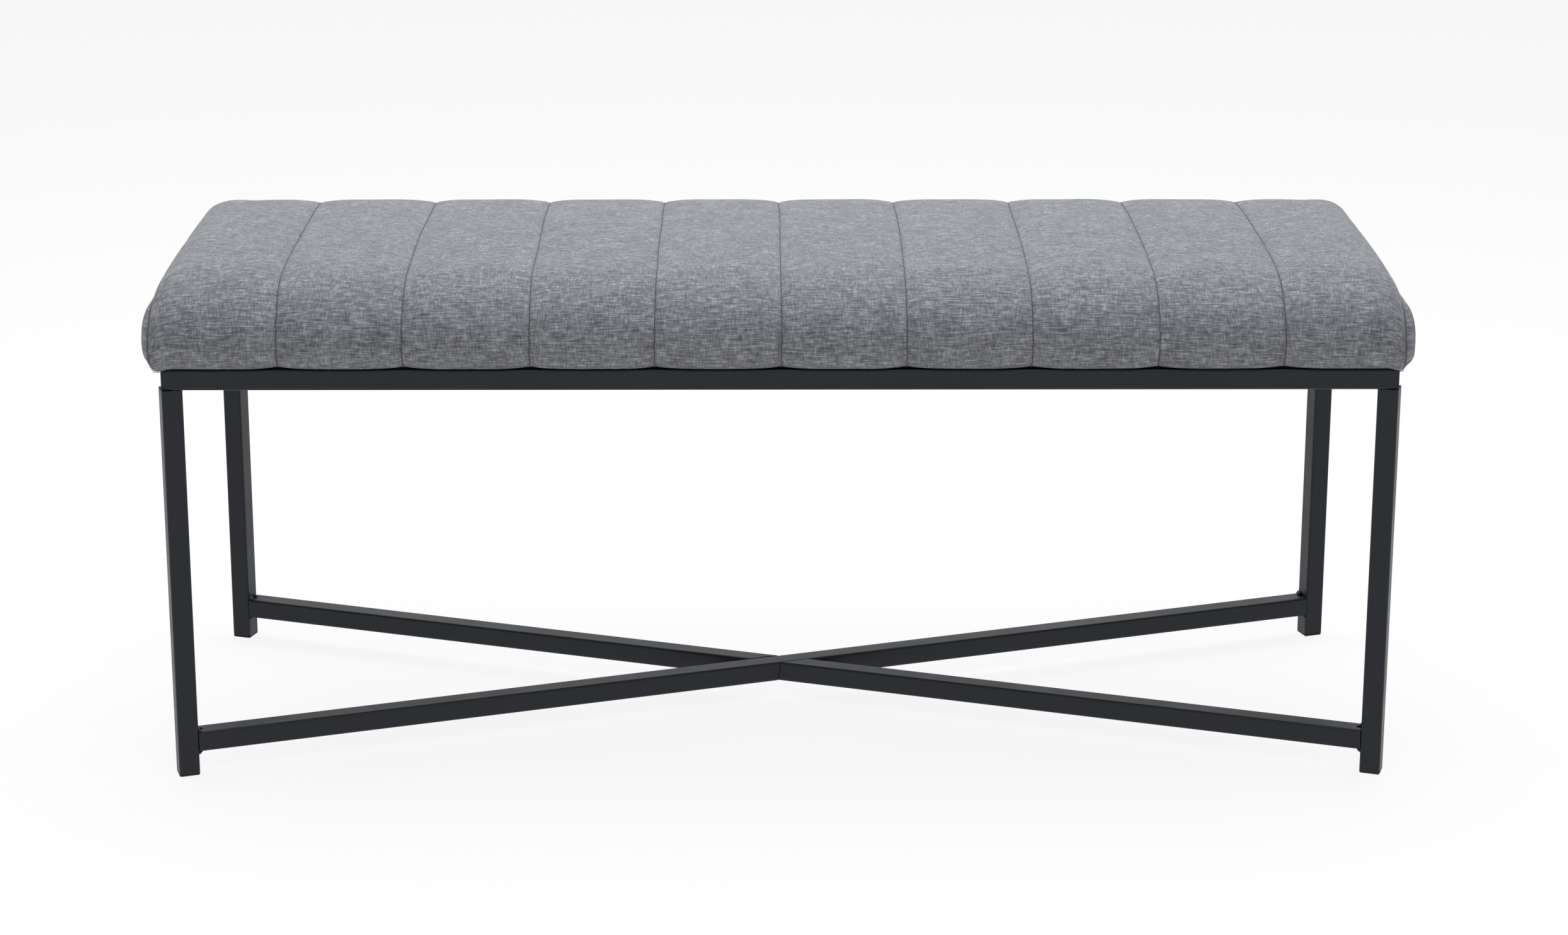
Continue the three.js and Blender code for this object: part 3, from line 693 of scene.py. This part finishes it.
def make_cover():
    """Makes the cover and returns each seam's points and normals, for its row of dark stitches that paint
    the seam's shade.
    """
    mesh, places, ring, over_count, hold = build_cover()
    cover = bpy.data.objects.new("seat_cover", mesh)
    bpy.context.scene.collection.objects.link(cover)
    seam_columns = [i for i, (_, _, share) in enumerate(places) if share in (0.0, 1.0)]
    held = {index: 1.0 for index, value in enumerate(hold) if value}
    for i in seam_columns:
        for row in range(ring):
            held[i * ring + row] = 1.0
    moved = inflate(cover, held)
    normals = stuff_channels(mesh, moved, places, ring, over_count)
    crease_seams(mesh, seam_columns, ring, over_count)
    for face in mesh.polygons:
        face.use_smooth = True
    mesh.materials.append(finishes["cover_fabric"])
    smooth = cover.modifiers.new("Smooth", "SUBSURF")
    smooth.levels = 1
    smooth.render_levels = 1
    smooth.uv_smooth = "PRESERVE_BOUNDARIES"
    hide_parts(*STRIPS, "cover_left_end_panel", "cover_right_end_panel", "foam_block")
    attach(cover, "root")
    seams, seam_normals = [], []
    for i in seam_columns:
        rows = range(i * ring, i * ring + over_count + 1)
        seams.append([mesh.vertices[index].co.copy() for index in rows])
        seam_normals.append([normals[index] for index in rows])
    return seams, seam_normals


# ---------------------------------------------------------------- seam threads: dark stitches as painted shade in the seams
STITCH = 3.2 * MM
THREAD_RADIUS = 0.45 * MM
THREAD_SIDES = 6
THREAD_RISE = 0.35 * MM  # how high a stitch arches, and how far its row lies above the seam
THREAD_SINK = 0.6  # a stitch's ends go this share of its rise below the row
THREAD_TAPER = 0.55  # a stitch's thickness at its ends as a share of its middle's
CORE_DROP = 0.02  # metres below the seam's centre that the stitches point away from
STEPS_PER_STITCH = 4


def along_line(points, step):
    """Points and directions at equal steps along a line of Vectors."""
    made, left = [], 0.0
    for first, second in zip(points, points[1:]):
        run = (second - first).length
        direction = (second - first).normalized()
        while left <= run:
            made.append((first + direction * left, direction))
            left += step
        left -= run
    return made


def make_thread(name, points, normals):
    """A row of dark stitches laid along a seam, as painted shade in its crevice: each one rises between two
    needle holes.
    """
    mesh = bpy.data.meshes.new(name)
    grown = bmesh.new()
    lifted = [point + normal * THREAD_RISE for point, normal in zip(points, normals)]
    centre = sum(points, Vector()) / len(points)
    rings = []
    for number, (place, direction) in enumerate(along_line(lifted, STITCH / STEPS_PER_STITCH)):
        phase = (number % STEPS_PER_STITCH) / STEPS_PER_STITCH
        arch = math.sin(math.pi * phase)
        out = (place - Vector((place.x, 0.0, centre.z - CORE_DROP))).normalized()
        sideways = direction.cross(out).normalized()
        out = sideways.cross(direction).normalized()
        middle = place + out * THREAD_RISE * (arch - THREAD_SINK)
        radius = THREAD_RADIUS * (THREAD_TAPER + (1 - THREAD_TAPER) * arch)
        turns = [math.tau * k / THREAD_SIDES for k in range(THREAD_SIDES)]
        spokes = [sideways * math.cos(turn) + out * math.sin(turn) for turn in turns]
        rings.append([grown.verts.new(middle + spoke * radius) for spoke in spokes])
    for first, second in zip(rings, rings[1:]):
        for k in range(THREAD_SIDES):
            n = (k + 1) % THREAD_SIDES
            grown.faces.new((first[k], first[n], second[n], second[k]))
    grown.faces.new(list(reversed(rings[0])))
    grown.faces.new(rings[-1])
    bmesh.ops.recalc_face_normals(grown, faces=grown.faces)
    for face in grown.faces:
        face.smooth = True
    grown.to_mesh(mesh)
    grown.free()
    mesh.materials.append(seam_shade_finish)
    thread = bpy.data.objects.new(name, mesh)
    bpy.context.scene.collection.objects.link(thread)
    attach(thread, "root")


# ---------------------------------------------------------------- studio
FLOOR_SIZE = 60.0
FLOOR_GREY = 0.12  # a dark colour, so that shadows on it stay faint
FLOOR_GLOW = 0.87  # the floor shows pale by its own glow
FRONT_TONE = (0.12, 0.12, 0.125)  # the room's light from in front of the bench
BACK_TONE = (0.98, 0.98, 0.985)
BACK_FROM = 0.48  # the light is full from here on: 0 is beside the bench, 1 straight behind it
SEEN_TONE = (0.95, 0.95, 0.955)  # the room as the camera sees it


def make_floor():
    """A large pale floor under the bench."""
    mesh = bpy.data.meshes.new("floor")
    grown = bmesh.new()
    bmesh.ops.create_grid(grown, x_segments=8, y_segments=8, size=FLOOR_SIZE)
    grown.to_mesh(mesh)
    grown.free()
    g = Graph("pale_floor")
    g.finish(colour=rgba(FLOOR_GREY, FLOOR_GREY, FLOOR_GREY), roughness=0.9, specular=0.0)
    g.feed(g.shader.inputs["Emission Color"], rgba(1.0, 1.0, 1.0))
    g.feed(g.shader.inputs["Emission Strength"], FLOOR_GLOW)
    mesh.materials.append(g.material)
    floor = bpy.data.objects.new("floor", mesh)
    bpy.context.scene.collection.objects.link(floor)


def make_world():
    """A white room that lights the bench more from behind it, where the backdrop is, than from the front.

    To the camera it's the same pale tone all round, so the horizon is quiet from every side."""
    world = bpy.data.worlds.new("studio")
    world.use_nodes = True
    bpy.context.scene.world = world
    nodes, links = world.node_tree.nodes, world.node_tree.links
    background = nodes["Background"]
    where = nodes.new("ShaderNodeTexCoord")
    split = nodes.new("ShaderNodeSeparateXYZ")
    ramp = nodes.new("ShaderNodeValToRGB")
    links.new(where.outputs["Generated"], split.inputs[0])
    links.new(split.outputs["Y"], ramp.inputs[0])
    elements = ramp.color_ramp.elements
    elements[0].position, elements[0].color = 0.0, rgba(*FRONT_TONE)
    elements[1].position, elements[1].color = BACK_FROM, rgba(*BACK_TONE)
    links.new(ramp.outputs[0], background.inputs["Color"])
    path = nodes.new("ShaderNodeLightPath")
    seen = nodes.new("ShaderNodeBackground")
    seen.inputs["Color"].default_value = rgba(*SEEN_TONE)
    choice = nodes.new("ShaderNodeMixShader")
    links.new(path.outputs["Is Camera Ray"], choice.inputs[0])
    links.new(background.outputs[0], choice.inputs[1])
    links.new(seen.outputs[0], choice.inputs[2])
    links.new(choice.outputs[0], nodes["World Output"].inputs["Surface"])


def make_lamp(name, place, target, size, power, tint=(1.0, 1.0, 1.0)):
    """A flat lamp at place that faces target: size in metres, power in watts."""
    data = bpy.data.lights.new(name, "AREA")
    data.shape = "RECTANGLE"
    data.size, data.size_y = size
    data.energy = power
    data.color = tint
    lamp = bpy.data.objects.new(name, data)
    lamp.location = place
    lamp.rotation_euler = (Vector(target) - Vector(place)).to_track_quat("-Z", "Y").to_euler()
    bpy.context.scene.collection.objects.link(lamp)


CAMERA_PLACE = (-0.0219, -3.3279, 1.2900)
CAMERA_TURN = (0.557, -15.313, -0.10)  # yaw, pitch and roll in degrees
CAMERA_LENS = 79.07
CAMERA_SHIFT = (-0.0039, -0.0785)
SEAT_MIDDLE = (0.0, 0.0, 0.4)  # what the lamps point at


def make_camera():
    """The viewpoint: from the front, a little above the seat, turned slightly to the right."""
    data = bpy.data.cameras.new("camera")
    data.sensor_width = 36.0
    data.lens = CAMERA_LENS
    data.shift_x, data.shift_y = CAMERA_SHIFT
    camera = bpy.data.objects.new("camera", data)
    yaw, pitch, roll = (math.radians(angle) for angle in CAMERA_TURN)
    turn = Matrix.Rotation(-yaw, 3, "Z") @ Matrix.Rotation(math.pi / 2 + pitch, 3, "X")
    turn = turn @ Matrix.Rotation(-roll, 3, "Z")
    camera.rotation_euler = turn.to_euler()
    camera.location = CAMERA_PLACE
    bpy.context.scene.collection.objects.link(camera)
    bpy.context.scene.camera = camera


finish_cad_nodes()
seam_lines, seam_normals = make_cover()
# Rows of dark stitches along the seams, as painted shade in their crevices.
for number, (line, normals) in enumerate(zip(seam_lines, seam_normals)):
    make_thread(f"seam_shade_line_{number + 1:02d}", line, normals)
make_floor()
make_world()
make_camera()
make_lamp("overhead", (0.0, 0.5, 2.6), SEAT_MIDDLE, (3.0, 2.2), 67.0, (0.955, 0.985, 1.03))
make_lamp("front", (0.2, -2.2, 2.6), SEAT_MIDDLE, (2.4, 0.5), 34.0)
bpy.context.scene.view_settings.view_transform = "Standard"
